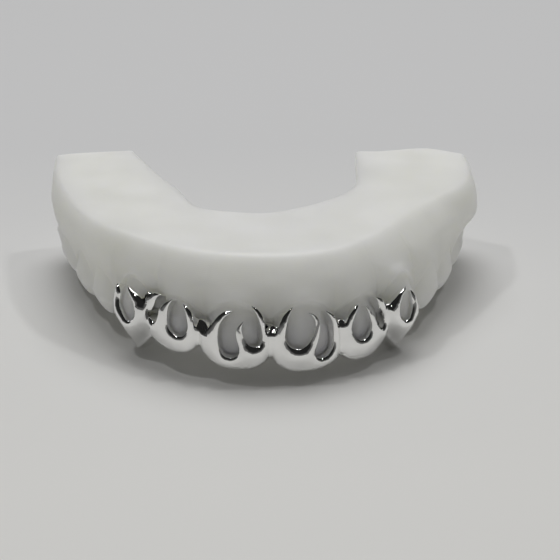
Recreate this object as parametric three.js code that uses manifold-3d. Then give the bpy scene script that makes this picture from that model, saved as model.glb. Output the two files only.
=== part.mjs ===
// Six-tooth flame-cut grillz on a plain printed cast of the upper jaw.
// Millimetres, +Z up. The cast stands on its teeth with the flat base up;
// the front of the teeth faces -Y and +X is to the right seen from the front.
import * as THREE from 'three';
import { mergeVertices } from 'three/addons/utils/BufferGeometryUtils.js';
import Module from 'manifold-3d';

// ---------------------------------------------------------------- driving sizes
const ARCH_RISE = 6.8;          // dental arch: y = rise * (cosh(x / spread) - 1)
const ARCH_SPREAD = 11.4;
const ARCH_REACH = 40;          // half width over which the arch is tabulated
const BASE_HEIGHT = 16;         // table to the flat top of the cast
const GUM_HEIGHT = 12.4;        // height at which the gum wall is fullest
const GUM_MARGIN = 0.45;        // roll of the gum at the front teeth, and behind them
const GUM_MARGIN_BACK = 0.12;
const EDGE_INSET = 0.7;         // softened top edge of the cast
const EDGE_DROP = 0.65;
const TOP_ACROSS = [0.25, 0.5, 0.75]; // points across the flat top, inner edge to outer
const PALATE_EDGE = 13.0;       // lower rim of the cut inner wall
const CAP_GAP = 0.3;            // clearance between the metal and the resin
const CAP_TOP = 11.2;           // height to which the cap blank reaches in front
const CAP_BACK = 7.0;           // height of the plain back wall
const CAP_LEAST = 0.5;          // least wall
const CAP_FRONT = 10;           // profile steps from the top to the biting edge
const CAP_REAR = 7;             // and from there up the back
const CAP_END = 24.4;           // arc length from the midline to each end of the cap
const CAP_SOFT = 0.1;           // roundness of the metal's grooves, and their depth against those of the teeth
const CAP_SOFT_GROOVE = 0.6;
const CAP_SOFT_EDGE = 0.85;
const CAP_FILLED = 16.8;        // contact at which the metal's groove is filled and soft
const CAP_WALL = 1.5;           // outer skin in front of the tooth, at the ends of the cap, and behind the teeth
const CAP_END_WALL = 0.9;
const CAP_BACK_WALL = 1.0;
const CAP_FOOT = 1.0;           // outer skin under the biting edge
const CAP_LIP = 0.9;            // height of the lower lip, and its corner
const CAP_CORNER = 0.22;
const CUT_INSIDE = -1.0;        // flame cuts run from here, inside the tooth space,
const CUT_OUTSIDE = 7.0;        // to here, in front of the metal
const CUT_TOP = 13.0;
const CAST_STEPS = 4;           // stations in each half tooth of the cast
const CAP_STEPS = 5;            // stations in each half tooth of the cap

// ---------------------------------------------------------------- tables
const table = (columns, rows) => rows.map((row) => Object.fromEntries(columns.map((name, i) => [name, row[i]])));

// One row for each contact between teeth and each tooth centre, from the midline back.
// s: arc length. edge: height of the biting edge, left and right side. The n columns are
// measured outward from the arch line. edgeUp and linUp lift the two rims of the biting
// edge, fossa is the dip between them, the p columns say how square a tooth is (its edge
// towards the midline and away from it, and its face), split is the notch between two cusps
// and faceUp the height of the fullest part above the edge.
const TEETH = table(
  ['s', 'edgeL', 'edgeR', 'edgeUp', 'fossa', 'linUp', 'edgeLab', 'edgeLin', 'faceN', 'neckN', 'neckZ', 'lfaceN', 'lfaceZ', 'lneckN', 'lneckZ', 'pEdgeM', 'pEdgeD', 'pFace', 'split', 'faceUp'],
  [
    [0.0, 4.85, 4.85, 0.60, 0.0, 0.60, -0.9, -2.0, -1.5, -1.7, 7.4, -3.4, 7.2, -6.0, 9.6, 0, 0, 0, 0, 2.6],
    [4.6, 2.98, 2.55, 0.55, 0.0, 0.55, 0.1, -1.3, 0.35, -0.7, 10.3, -3.0, 6.8, -6.2, 10.4, 2.9, 2.1, 3.0, 0, 2.6],
    [9.2, 5.65, 3.9, 0.60, 0.0, 0.60, -0.9, -2.0, -1.5, -1.7, 7.4, -3.4, 7.2, -5.8, 9.4, 0, 0, 0, 0, 2.6],
    [12.9, 4.0, 2.7, 0.55, 0.0, 0.55, 0.1, -1.2, 0.35, -0.6, 9.8, -3.0, 6.8, -5.8, 10.0, 3.3, 1.45, 2.6, 0, 2.6],
    [16.8, 5.25, 5.0, 0.60, 0.0, 0.60, -0.7, -2.0, -1.3, -1.6, 7.4, -3.8, 7.2, -6.0, 9.2, 0, 0, 0, 0, 2.6],
    [20.4, 1.5, 1.01, 0.60, 0.0, 0.60, -0.9, -1.9, 1.00, -0.1, 10.8, -4.0, 6.4, -6.8, 10.0, 1.1, 1.0, 1.9, 0, 3.4],
    [25.3, 5.2, 5.2, 0.40, 0.3, 0.50, -0.9, -3.9, -0.2, -0.5, 6.4, -5.8, 6.2, -6.8, 8.6, 0, 0, 0, 0, 2.6],
    [29.0, 2.9, 2.9, 0.10, 0.9, -1.9, -0.1, -5.0, 1.40, 0.9, 9.6, -7.0, 4.6, -7.0, 8.6, 2.6, 2.0, 2.2, 0, 2.6],
    [32.8, 4.0, 4.0, 0.10, 0.6, -1.4, -0.7, -5.0, 0.8, 0.5, 6.6, -6.6, 5.4, -7.2, 7.8, 0, 0, 0, 0, 2.6],
    [36.9, 2.8, 2.8, 0.10, 0.9, -2.2, -0.1, -5.2, 1.40, 0.9, 9.2, -7.4, 4.6, -7.4, 8.4, 2.0, 2.0, 2.2, 0, 2.6],
    [41.0, 4.0, 4.0, 0.10, 0.6, -1.6, -0.7, -5.4, 0.8, 0.5, 6.4, -7.4, 5.2, -8.0, 7.6, 0, 0, 0, 0, 2.6],
    [46.4, 3.2, 3.2, 0.00, 0.8, -3.31, -0.2, -6.8, 1.50, 1.0, 8.8, -9.0, 4.6, -8.8, 8.0, 2.4, 2.4, 3.0, 0.5, 2.6],
    [52.0, 4.5, 4.5, 0.00, 0.6, -2.2, -0.7, -6.4, 0.9, 0.6, 6.4, -8.6, 5.0, -8.8, 7.4, 0, 0, 0, 0, 2.6],
    [56.2, 3.8, 3.8, 0.00, 0.8, -3.96, -0.4, -6.6, 1.20, 0.8, 8.6, -8.8, 4.8, -8.6, 8.0, 2.4, 2.4, 3.0, 0.5, 2.6],
    [60.2, 4.8, 4.8, 0.20, 0.6, -1.0, -1.2, -6.0, -0.20, -0.4, 6.8, -8.4, 5.6, -8.8, 7.6, 0, 0, 0, 0, 2.6],
    [61.6, 6.2, 6.2, 0.30, 0.0, 0.30, -1.8, -6.0, -0.9, -0.4, 8.4, -8.2, 7.6, -9.0, 8.6, 2.0, 2.0, 2.0, 0, 2.6],
  ]);

// Hand-trimmed outline of the flat base: outer and inner edge at an arc length, and how far
// the gum wall below the outer edge rolls outward.
const BASE = table(
  ['s', 'outerX', 'outerY', 'innerX', 'innerY', 'roll'],
  [
    [-61.6, -31.6, 47.4, -19.6, 49.6, 0.3],
    [-55.0, -31.0, 41.6, -17.6, 44.3, 0.6],
    [-47.0, -29.5, 33.4, -14.9, 37.2, 0.6],
    [-38.0, -26.9, 24.8, -12.3, 31.6, 0.6],
    [-30.0, -23.2, 17.6, -10.8, 26.6, 0.8],
    [-21.0, -16.6, 10.9, -9.0, 23.2, 1.0],
    [-11.0, -8.8, 5.8, -5.2, 21.5, 1.2],
    [0.0, 0.2, 4.1, 0.2, 20.7, 1.2],
    [11.0, 8.6, 6.1, 4.8, 22.8, 1.2],
    [21.0, 14.9, 12.2, 9.0, 26.0, 1.2],
    [30.0, 19.6, 19.4, 11.9, 29.6, 1.4],
    [38.0, 24.2, 25.6, 13.4, 33.0, 1.6],
    [47.0, 29.6, 32.4, 13.9, 37.5, 1.6],
    [55.0, 31.1, 39.5, 14.2, 42.5, 1.6],
    [61.6, 31.4, 45.4, 14.6, 47.9, 1.2],
  ]);

// How far each arm's end stands out past the last station, from its outer edge (0) to its inner (1).
const ARM_END = table(
  ['across', 'left', 'right'],
  [[0.00, 0.6, 0.4], [0.15, 1.1, 2.2], [0.30, 1.3, 4.6], [0.45, 1.3, 4.1], [0.60, 1.3, 2.7], [0.80, 1.2, 1.2], [1.00, 0.7, 0.5]]);
const END_RINGS = table(['out', 'scale', 'drop'], [[0.55, 0.985, 0], [0.85, 0.95, 0.35], [1.0, 0.88, 1.6]]);

// Flame line on the front of the cap, one row for each opening or notch from left to right:
// its left prong tip, then points down the left side, the lowest point and up the right side,
// each as arc length and height. The next row's tip closes it.
const FLAMES = table(
  ['tipS', 'tipZ', 'upLeftS', 'upLeftZ', 'leftS', 'leftZ', 'lowLeftS', 'lowLeftZ', 'lowS', 'lowZ', 'lowRightS', 'lowRightZ', 'rightS', 'rightZ', 'upRightS', 'upRightZ'],
  [
    [-23.20, 9.70, -22.31, 8.15, -21.43, 6.68, -20.31, 5.75, -19.60, 5.31, -18.94, 5.83, -18.58, 7.25, -19.38, 8.91], // canine
    [-20.98, 10.10, -19.79, 9.82, -18.70, 9.48, -17.92, 9.00, -17.56, 8.62, -17.37, 9.08, -17.02, 9.90, -16.08, 10.41], // notch
    [-14.89, 10.44, -15.99, 9.23, -16.57, 7.79, -16.67, 6.58, -16.14, 6.13, -15.52, 6.61, -14.94, 7.84, -14.27, 9.37], // lateral, narrow
    [-12.77, 10.40, -13.43, 8.62, -13.33, 6.83, -12.54, 5.69, -11.74, 5.48, -11.00, 5.72, -10.40, 6.88, -10.53, 8.55], // lateral, wide
    [-11.28, 10.16, -10.20, 9.38, -9.48, 8.36, -8.97, 7.50, -8.48, 7.20, -7.98, 7.67, -7.21, 8.64, -6.15, 9.74], // notch
    [-4.60, 10.14, -6.11, 8.22, -6.37, 5.91, -5.84, 4.14, -4.89, 3.69, -4.09, 4.02, -3.71, 5.42, -4.04, 7.27], // central
    [-3.22, 9.02, -3.39, 7.61, -3.04, 6.31, -2.35, 5.50, -1.75, 5.33, -0.96, 5.68, -0.81, 7.19, -1.27, 9.07], // central
    [-2.28, 10.87, -1.13, 10.13, -0.35, 9.10, -0.02, 8.12, 0.15, 7.55, 0.44, 8.03, 0.97, 8.87, 1.75, 9.82], // notch
    [2.79, 10.62, 1.97, 8.60, 1.71, 6.56, 2.57, 5.21, 3.46, 4.89, 4.24, 5.23, 5.07, 6.41, 5.53, 8.19], // central
    [4.68, 9.86, 5.99, 7.92, 5.57, 5.56, 5.51, 3.71, 6.45, 3.20, 7.46, 3.57, 8.32, 5.19, 8.11, 7.50], // central
    [6.99, 9.72, 7.94, 9.21, 8.67, 8.51, 9.13, 7.84, 9.37, 7.46, 9.69, 7.76, 10.17, 8.35, 10.79, 9.07], // notch
    [11.63, 9.63, 10.67, 7.89, 10.47, 6.07, 11.30, 4.85, 12.10, 4.54, 12.84, 4.75, 13.40, 5.91, 13.07, 7.54], // lateral, wide
    [12.65, 9.28, 13.53, 7.76, 14.32, 6.31, 15.18, 5.31, 15.87, 5.01, 16.35, 5.54, 16.14, 6.83, 15.21, 8.22], // lateral, narrow
    [14.54, 9.87, 15.49, 9.47, 16.21, 8.83, 16.63, 8.18, 16.86, 7.80, 17.31, 8.19, 18.10, 8.85, 19.23, 9.45], // notch
    [20.59, 9.58, 18.76, 8.69, 18.26, 6.83, 18.75, 5.37, 19.46, 4.84, 20.06, 5.10, 20.65, 6.08, 20.95, 7.47], // canine
  ]);
const LAST_TIP = { s: 21.0, z: 9.0 };
// Outer flank of the two end prongs, going down from the tip and out past the end of the cap.
const END_FLANK = table(
  ['leftS', 'leftZ', 'rightS', 'rightZ'],
  [[-23.62, 8.6, 21.55, 8.2], [-23.90, 7.2, 22.05, 7.0], [-24.05, 5.6, 22.50, 5.6], [-24.15, 4.2, 22.90, 4.2], [-24.25, 2.4, 23.30, 2.4], [-26.40, 2.0, 26.40, 2.0]]);

// ---------------------------------------------------------------- helpers
const lerp = THREE.MathUtils.lerp;
const clamp = THREE.MathUtils.clamp;

// Arch line: point and outward normal at an arc length from the midline.
const ARCH_CELLS = 4000;
const archLength = [0];
const archSlope = (x) => (ARCH_RISE / ARCH_SPREAD) * Math.sinh(x / ARCH_SPREAD);
for (let i = 1; i <= ARCH_CELLS; i++) {
  const mid = ((i - 0.5) * ARCH_REACH) / ARCH_CELLS;
  archLength.push(archLength[i - 1] + Math.hypot(1, archSlope(mid)) * (ARCH_REACH / ARCH_CELLS));
}
function arch(s) {
  const a = Math.abs(s);
  let lo = 0;
  let hi = ARCH_CELLS;
  while (hi - lo > 1) {
    const mid = (lo + hi) >> 1;
    if (archLength[mid] <= a) lo = mid; else hi = mid;
  }
  const part = (a - archLength[lo]) / (archLength[hi] - archLength[lo]);
  const x = Math.sign(s) * (lo + part) * (ARCH_REACH / ARCH_CELLS);
  const slope = archSlope(x);
  const k = 1 / Math.hypot(1, slope);
  return { x, y: ARCH_RISE * (Math.cosh(x / ARCH_SPREAD) - 1), nx: slope * k, ny: -k };
}
const onArch = (s, n, z) => {
  const p = arch(s);
  return new THREE.Vector3(p.x + n * p.nx, p.y + n * p.ny, z);
};

// Value of a tooth column at an arc length: flat across a tooth, falling to the contact.
function tooth(name, s, power = 'pFace', soft = 0, depth = 1) {
  const a = Math.abs(s);
  let k = 0;
  while (k < TEETH.length - 2 && TEETH[k + 1].s <= a) k++;
  const u = clamp((a - TEETH[k].s) / (TEETH[k + 1].s - TEETH[k].s), 0, 1);
  const centre = k % 2 ? TEETH[k] : TEETH[k + 1];
  const contact = k % 2 ? TEETH[k + 1] : TEETH[k];
  const named = power === 'pEdge' ? (k % 2 ? 'pEdgeD' : 'pEdgeM') : power;
  const t = (k % 2 ? u : 1 - u) ** (typeof power === 'number' ? power : centre[named]);
  const shape = lerp(t, 0.5 * (1 - Math.cos(Math.PI * t)), soft);
  const value = lerp(centre[name], contact[name], shape * depth);
  const notch = name.startsWith('edge') && name.length === 5 ? centre.split * Math.exp(-(((a - centre.s) / 0.9) ** 2)) : 0;
  return value + notch;
}

// Profile nodes of a crown at s, from the front gum line round the biting edge to the back gum line.
function crownNodes(s, soft = 0, depth = 1, edgeSoft = 0, edgeDepth = 1, top = null) {
  const of = (name, power) => tooth(name, s, power, soft, depth);
  const edge = tooth(s < 0 ? 'edgeL' : 'edgeR', s, 'pEdge', edgeSoft, edgeDepth);
  const neckZ = top ?? of('neckZ', 2);
  const rise = neckZ - edge;
  const face = of('faceN');
  const lab = of('edgeLab');
  const lin = of('edgeLin');
  return [
    [of('neckN', 2.5), neckZ],
    [face - 0.15, neckZ - 0.36 * rise],
    [face, edge + Math.min(0.36 * rise, of('faceUp'))],
    [lab, edge + of('edgeUp')],
    [(lab + lin) / 2, edge + of('fossa')],
    [lin, edge + of('linUp')],
    [of('lfaceN'), Math.max(of('lfaceZ'), edge + 1.2)],
    [of('lneckN'), Math.max(of('lneckZ'), edge + 2)],
  ].map(([n, z]) => new THREE.Vector3(n, z, 0));
}

const curveThrough = (nodes, per) =>
  new THREE.CatmullRomCurve3(nodes, false, 'centripetal').getPoints((nodes.length - 1) * per);

// Offset a profile polyline outward.
function offsetProfile(points, by) {
  const last = points.length - 1;
  return points.map((p, i) => {
    const d = points[Math.min(i + 1, last)].clone().sub(points[Math.max(i - 1, 0)]).normalize();
    return new THREE.Vector3(p.x - d.y * by, p.y + d.x * by, 0);
  });
}

// Cut a profile at a front height and a back height and space each half evenly.
function trimProfile(points, frontZ, backZ, frontCount, backCount) {
  let low = 0;
  points.forEach((p, i) => { if (p.y < points[low].y) low = i; });
  const half = (from, z, count) => {
    const line = from.slice();
    let cut = line.findIndex((p, i) => i > 0 && p.y >= z);
    if (cut < 0) cut = line.length - 1;
    const a = line[cut - 1];
    const b = line[cut];
    const kept = line.slice(0, cut);
    kept.push(a.clone().lerp(b, clamp((z - a.y) / (b.y - a.y || 1), 0, 1)));
    const run = [0];
    for (let i = 1; i < kept.length; i++) run.push(run[i - 1] + kept[i].distanceTo(kept[i - 1]));
    const out = [];
    for (let j = 0; j <= count; j++) {
      const want = (run[run.length - 1] * j) / count;
      let k = 0;
      while (k < run.length - 2 && run[k + 1] < want) k++;
      out.push(kept[k].clone().lerp(kept[k + 1], clamp((want - run[k]) / (run[k + 1] - run[k] || 1), 0, 1)));
    }
    return out;
  };
  const front = half(points.slice(0, low + 1).reverse(), frontZ, frontCount).reverse();
  const back = half(points.slice(low), backZ, backCount);
  return [...front, ...back.slice(1)];
}

// Smooth value of the base table at s (cubic through the rows).
function base(s) {
  let k = 0;
  while (k < BASE.length - 2 && BASE[k + 1].s <= s) k++;
  const slope = (i, name) => {
    const a = BASE[Math.max(i - 1, 0)];
    const b = BASE[Math.min(i + 1, BASE.length - 1)];
    return (b[name] - a[name]) / (b.s - a.s);
  };
  const h = BASE[k + 1].s - BASE[k].s;
  const u = (s - BASE[k].s) / h;
  const at = (name) =>
    (2 * u ** 3 - 3 * u ** 2 + 1) * BASE[k][name] + (u ** 3 - 2 * u ** 2 + u) * h * slope(k, name)
    + (3 * u ** 2 - 2 * u ** 3) * BASE[k + 1][name] + (u ** 3 - u ** 2) * h * slope(k + 1, name);
  return {
    outer: new THREE.Vector3(at('outerX'), at('outerY'), 0),
    inner: new THREE.Vector3(at('innerX'), at('innerY'), 0),
    roll: at('roll'),
  };
}

// Gum and crown profile in the plane of the arch normal, from GUM_HEIGHT down the front and round.
function mouthNodes(s) {
  const b = base(s);
  const p = arch(s);
  const baseN = (b.outer.x - p.x) * p.nx + (b.outer.y - p.y) * p.ny;
  const crown = crownNodes(s);
  const gumN = lerp(baseN, tooth('neckN', s, 2.5, 0, 0.3), 0.5) + b.roll;
  const margin = lerp(GUM_MARGIN, GUM_MARGIN_BACK, clamp((Math.abs(s) - CAP_END) / 5, 0, 1));
  return [
    new THREE.Vector3(gumN, GUM_HEIGHT, 0),
    new THREE.Vector3(lerp(crown[0].x + margin, gumN, 0.15), crown[0].y + 0.8, 0),
    ...crown,
  ];
}

// Closed skin through rings of points, with flat ends.
function loft(rings) {
  const count = rings[0].length;
  const position = rings.flat().flatMap((p) => [p.x, p.y, p.z]);
  const index = [];
  for (let i = 0; i < rings.length - 1; i++) {
    for (let j = 0; j < count; j++) {
      const k = (j + 1) % count;
      const a = i * count + j;
      const b = i * count + k;
      index.push(a, b, a + count, b, b + count, a + count);
    }
  }
  for (const end of [0, rings.length - 1]) {
    const ring = rings[end];
    const along = ring[0].clone().sub(ring[count >> 1]).setZ(0).normalize();
    const flat = ring.map((p) => new THREE.Vector2(p.dot(along), p.z));
    const faces = THREE.ShapeUtils.triangulateShape(flat, []);
    const runsOn = faces.some((f) => f.some((v, i) => f[(i + 1) % 3] === (v + 1) % count));
    for (const face of faces) {
      const t = face.map((v) => end * count + v);
      if ((end === 0) === runsOn) t.reverse();
      index.push(...t);
    }
  }
  const geometry = new THREE.BufferGeometry();
  geometry.setAttribute('position', new THREE.Float32BufferAttribute(position, 3));
  geometry.setIndex(index);
  return geometry;
}

const wasm = await Module();
wasm.setup();
function solid(geometry) {
  const bare = geometry.clone();
  bare.deleteAttribute('normal');
  bare.deleteAttribute('uv');
  const g = mergeVertices(bare, 1e-4);
  const make = (triVerts) => new wasm.Manifold(new wasm.Mesh({
    numProp: 3,
    vertProperties: new Float32Array(g.attributes.position.array),
    triVerts,
  }));
  const tri = new Uint32Array(g.index.array);
  const body = make(tri);
  if (body.volume() > 0) return body;
  for (let i = 0; i < tri.length; i += 3) [tri[i], tri[i + 1]] = [tri[i + 1], tri[i]];
  return make(tri);
}
function toGeometry(body) {
  const mesh = body.getMesh();
  const stride = mesh.numProp;
  const position = new Float32Array((mesh.vertProperties.length / stride) * 3);
  for (let i = 0; i < position.length / 3; i++) {
    for (let c = 0; c < 3; c++) position[3 * i + c] = mesh.vertProperties[stride * i + c];
  }
  const geometry = new THREE.BufferGeometry();
  geometry.setAttribute('position', new THREE.BufferAttribute(position, 3));
  geometry.setIndex(new THREE.BufferAttribute(new Uint32Array(mesh.triVerts), 1));
  return geometry;
}

// Stations along the arch: every tooth centre and contact, and even steps between.
function stations(steps, end) {
  const half = [];
  for (let k = 0; k < TEETH.length - 1; k++) {
    for (let j = 0; j < steps; j++) half.push(lerp(TEETH[k].s, TEETH[k + 1].s, j / steps));
  }
  half.push(TEETH[TEETH.length - 1].s);
  const kept = half.filter((s) => s < end - 0.25);
  kept.push(end);
  return [...kept.slice(1).reverse().map((s) => -s), ...kept];
}

// ---------------------------------------------------------------- dental cast
function castRing(s) {
  const b = base(s);
  const inward = b.inner.clone().sub(b.outer).normalize();
  const at = (xy, inset, z) => xy.clone().addScaledVector(inward, inset).setZ(z);
  const mouth = curveThrough(mouthNodes(s), 2).map((p) => onArch(s, p.x, p.y));
  const gumTop = mouth[0];
  const palate = mouth[mouth.length - 1];
  const shoulder = at(b.outer, 0, BASE_HEIGHT - EDGE_DROP).lerp(gumTop, 0.5);
  shoulder.addScaledVector(inward, -0.12 * b.roll);
  return [
    at(b.outer, EDGE_INSET, BASE_HEIGHT),
    at(b.outer, 0.12, BASE_HEIGHT - EDGE_DROP),
    shoulder,
    ...mouth,
    palate.clone().lerp(at(b.inner, 0, PALATE_EDGE), 0.35).setZ(lerp(palate.z, PALATE_EDGE, 0.55)),
    palate.clone().lerp(at(b.inner, 0, PALATE_EDGE), 0.75).setZ(lerp(palate.z, PALATE_EDGE, 0.85)),
    at(b.inner, -0.25, PALATE_EDGE),
    at(b.inner, 0, BASE_HEIGHT - EDGE_DROP),
    at(b.inner, -EDGE_INSET, BASE_HEIGHT),
    ...TOP_ACROSS.map((u) => at(b.inner, -EDGE_INSET, BASE_HEIGHT).lerp(at(b.outer, EDGE_INSET, BASE_HEIGHT), u)),
  ];
}
function castGeometry() {
  const end = TEETH[TEETH.length - 1].s;
  const rings = stations(CAST_STEPS, end).map(castRing);
  // arm ends: a few shrinking rings past the last station, standing out by the end table
  const roundEnd = (ring, before, side) => {
    const middle = ring.reduce((sum, p) => sum.add(p), new THREE.Vector3()).divideScalar(ring.length);
    const past = ring[0].clone().sub(before[0]).setZ(0).normalize();
    const outer = ring[1];
    const span = ring[ring.length - 2 - TOP_ACROSS.length].clone().sub(outer).setZ(0);
    const standOut = (p) => {
      const across = clamp(p.clone().sub(outer).dot(span) / span.lengthSq(), 0, 1);
      let k = 0;
      while (k < ARM_END.length - 2 && ARM_END[k + 1].across <= across) k++;
      const u = (across - ARM_END[k].across) / (ARM_END[k + 1].across - ARM_END[k].across);
      const fade = clamp((p.z - BASE_HEIGHT / 3) / (BASE_HEIGHT / 2), 0.12, 1);
      return fade * lerp(ARM_END[k][side], ARM_END[k + 1][side], u);
    };
    return END_RINGS.map(({ out, scale, drop }) => ring.map((p) => {
      const q = middle.clone().lerp(p, scale).addScaledVector(past, out * standOut(p));
      if (p.z > BASE_HEIGHT - 0.01) q.z = BASE_HEIGHT - drop;
      return q;
    }));
  };
  const count = rings.length;
  const tail = roundEnd(rings[count - 1], rings[count - 2], 'right');
  const head = roundEnd(rings[0], rings[1], 'left').reverse();
  return toGeometry(solid(loft([...head, ...rings, ...tail])));
}

// ---------------------------------------------------------------- grillz
function capRing(s) {
  const canine = TEETH[5].s;
  const filled = Math.exp(-(((Math.abs(s) - CAP_FILLED) / 1.6) ** 2));
  const groove = Math.abs(s) > canine ? 1 : CAP_SOFT_GROOVE * (1 - 0.4 * filled);
  const soft = lerp(CAP_SOFT, 0.95, filled);
  const tip = crownNodes(s, soft, groove, CAP_SOFT, CAP_SOFT_EDGE, CAP_TOP + 0.4);
  const foot = tip[4].y - tooth('fossa', s, 'pFace', soft, groove) - CAP_FOOT;
  const wall = lerp(CAP_WALL, CAP_END_WALL, THREE.MathUtils.smoothstep(Math.abs(s), canine - 1.4, canine + 1.4));
  const lip = tip[3].x + wall - 0.05;
  const skin = curveThrough([
    [tip[0].x + 0.70 * wall, tip[0].y],
    [tip[1].x + 0.93 * wall, tip[1].y],
    [tip[2].x + wall, tip[2].y],
    [lip, foot + CAP_LIP],
    [lip - CAP_CORNER, foot + CAP_CORNER],
    [lip - CAP_LIP, foot],
    [0.5 * (lip + tip[5].x - CAP_BACK_WALL), foot + 0.05],
    [tip[5].x - 0.75 * CAP_BACK_WALL, foot + 0.55],
    [tip[6].x - CAP_BACK_WALL, tip[6].y - 0.2],
    [tip[7].x - CAP_BACK_WALL, tip[7].y],
  ].map(([n, z]) => new THREE.Vector3(n, z, 0)), 8);
  const seat = curveThrough(mouthNodes(s), 8);
  const outer = trimProfile(skin, CAP_TOP, CAP_BACK, CAP_FRONT, CAP_REAR);
  const inner = trimProfile(offsetProfile(seat, CAP_GAP), CAP_TOP, CAP_BACK, CAP_FRONT, CAP_REAR);
  // the blank stays at least CAP_LEAST thick where the gum swells behind it
  outer.slice(0, CAP_FRONT + 1).forEach((p, i) => { p.x = Math.max(p.x, inner[i].x + CAP_LEAST); });
  return [...outer, ...inner.reverse()].map((p) => onArch(s, p.x, p.y));
}

// One opening: outline in arc length and height, pushed through the front wall and bent to the arch.
function flameCut(outline) {
  const shape = new THREE.Shape(outline);
  const geometry = new THREE.ExtrudeGeometry(shape, { depth: CUT_OUTSIDE - CUT_INSIDE, steps: 1, bevelEnabled: false });
  const p = geometry.attributes.position;
  for (let i = 0; i < p.count; i++) {
    const q = onArch(p.getX(i), CUT_INSIDE + p.getZ(i), p.getY(i));
    p.setXYZ(i, q.x, q.y, q.z);
  }
  return solid(geometry);
}
function flameOutlines() {
  const outlines = FLAMES.map((row, i) => {
    const next = FLAMES[i + 1];
    const nodes = [
      [row.tipS, row.tipZ], [row.upLeftS, row.upLeftZ], [row.leftS, row.leftZ], [row.lowLeftS, row.lowLeftZ], [row.lowS, row.lowZ],
      [row.lowRightS, row.lowRightZ], [row.rightS, row.rightZ], [row.upRightS, row.upRightZ],
      next ? [next.tipS, next.tipZ] : [LAST_TIP.s, LAST_TIP.z],
    ].map(([s, z]) => new THREE.Vector3(s, z, 0));
    const line = curveThrough(nodes, 3);
    const a = line[0];
    const b = line[line.length - 1];
    return [...line, new THREE.Vector3(b.x + 0.2, CUT_TOP, 0), new THREE.Vector3(a.x - 0.2, CUT_TOP, 0)];
  });
  for (const [tip, side, name] of [[{ s: FLAMES[0].tipS, z: FLAMES[0].tipZ }, -1, 'left'], [LAST_TIP, 1, 'right']]) {
    const flank = END_FLANK.map((row) => new THREE.Vector3(row[`${name}S`], row[`${name}Z`], 0));
    const far = flank[flank.length - 1].x;
    outlines.push([
      new THREE.Vector3(tip.s, tip.z, 0), ...flank,
      new THREE.Vector3(far, CUT_TOP, 0), new THREE.Vector3(tip.s - side * 0.2, CUT_TOP, 0),
    ]);
  }
  return outlines.map((line) => line.map((p) => new THREE.Vector2(p.x, p.y)));
}
function capGeometry() {
  let body = solid(loft(stations(CAP_STEPS, CAP_END).map(capRing)));
  for (const outline of flameOutlines()) body = body.subtract(flameCut(outline));
  return toGeometry(body);
}

// ---------------------------------------------------------------- assembly
const silver = new THREE.MeshStandardMaterial({ color: 0xc8c8c6, metalness: 1, roughness: 0.08 });
const resin = new THREE.MeshStandardMaterial({ color: 0xdcdcd6, metalness: 0, roughness: 0.5 });
const grillz = new THREE.Mesh(capGeometry(), silver);
grillz.name = 'grillz';
const cast = new THREE.Mesh(castGeometry(), resin);
cast.name = 'dental_cast';

// Origin at the middle of the footprint, on the table.
const box = new THREE.Box3();
for (const mesh of [grillz, cast]) {
  mesh.geometry.computeBoundingBox();
  box.union(mesh.geometry.boundingBox);
}
const middle = box.getCenter(new THREE.Vector3());
for (const mesh of [grillz, cast]) mesh.geometry.translate(-middle.x, -middle.y, -box.min.z);

const group = new THREE.Group();
group.add(cast, grillz);
export default group;
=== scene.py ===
"""Flame-cut silver grillz on a printed resin cast of the upper jaw: fine meshes, materials, stage and camera.

Lengths below are in millimetres in the jaw's own frame (arch apex at x = y = 0, +Z up, table at z = 0,
front towards -Y). SHIFT takes them to the row frame, and MM to metres.
"""

import bpy
import numpy as np
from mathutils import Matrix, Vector, geometry, kdtree
from mathutils.bvhtree import BVHTree


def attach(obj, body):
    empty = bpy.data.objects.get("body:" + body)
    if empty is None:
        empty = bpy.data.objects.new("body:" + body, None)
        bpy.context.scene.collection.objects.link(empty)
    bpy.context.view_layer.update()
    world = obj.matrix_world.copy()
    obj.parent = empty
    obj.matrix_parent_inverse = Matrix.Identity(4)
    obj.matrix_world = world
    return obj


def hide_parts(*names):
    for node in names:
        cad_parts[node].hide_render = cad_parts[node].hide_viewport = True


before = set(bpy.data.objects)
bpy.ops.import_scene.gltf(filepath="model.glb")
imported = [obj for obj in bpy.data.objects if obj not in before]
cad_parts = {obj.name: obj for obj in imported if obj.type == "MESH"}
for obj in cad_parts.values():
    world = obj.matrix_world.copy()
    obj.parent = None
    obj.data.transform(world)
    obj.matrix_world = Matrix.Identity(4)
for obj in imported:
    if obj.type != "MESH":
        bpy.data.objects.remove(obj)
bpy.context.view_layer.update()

MM = 0.001
SHIFT = np.array([-0.55053, -24.57697, 0.00188])

# ---------------------------------------------------------------- geometry begins
# ---------------------------------------------------------------- driving sizes
ARCH_RISE = 6.8  # dental arch: y = rise * (cosh(x / spread) - 1)
ARCH_SPREAD = 11.4
BASE_HEIGHT = 16.0  # table to the flat top of the cast
GUM_HEIGHT = 12.4  # height at which the gum wall is fullest, in front and on the arms
GUM_BACK = 10.4
GUM_FALL = (36.0, 50.0)  # arc lengths between which it falls
TOP_ROUND_OUT = 0.95  # softened edges of the flat top
TOP_ROUND_IN = 0.6
PALATE_EDGE = 13.0  # lower rim of the cut inner wall
CAP_TOP = 11.2  # height to which the cap blank reaches in front
CAP_BACK = 7.0  # height of the plain back wall
CAP_LEAST = 0.75  # least wall of the cap
CAP_END = 24.4  # arc length from the midline to each end of the cap
CAP_SOFT = 0.1  # roundness of the metal's grooves, and their depth against those of the teeth
CAP_SOFT_GROOVE = 0.6
CAP_SOFT_EDGE = 0.85
CAP_WALL = 1.5  # outer skin in front of the tooth's fullest face, at the ends of the cap, and behind the teeth
CAP_END_WALL = (1.4, 1.15)
CAP_BACK_WALL = 1.0
CAP_FOOT = 1.0  # metal under the biting edge
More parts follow.
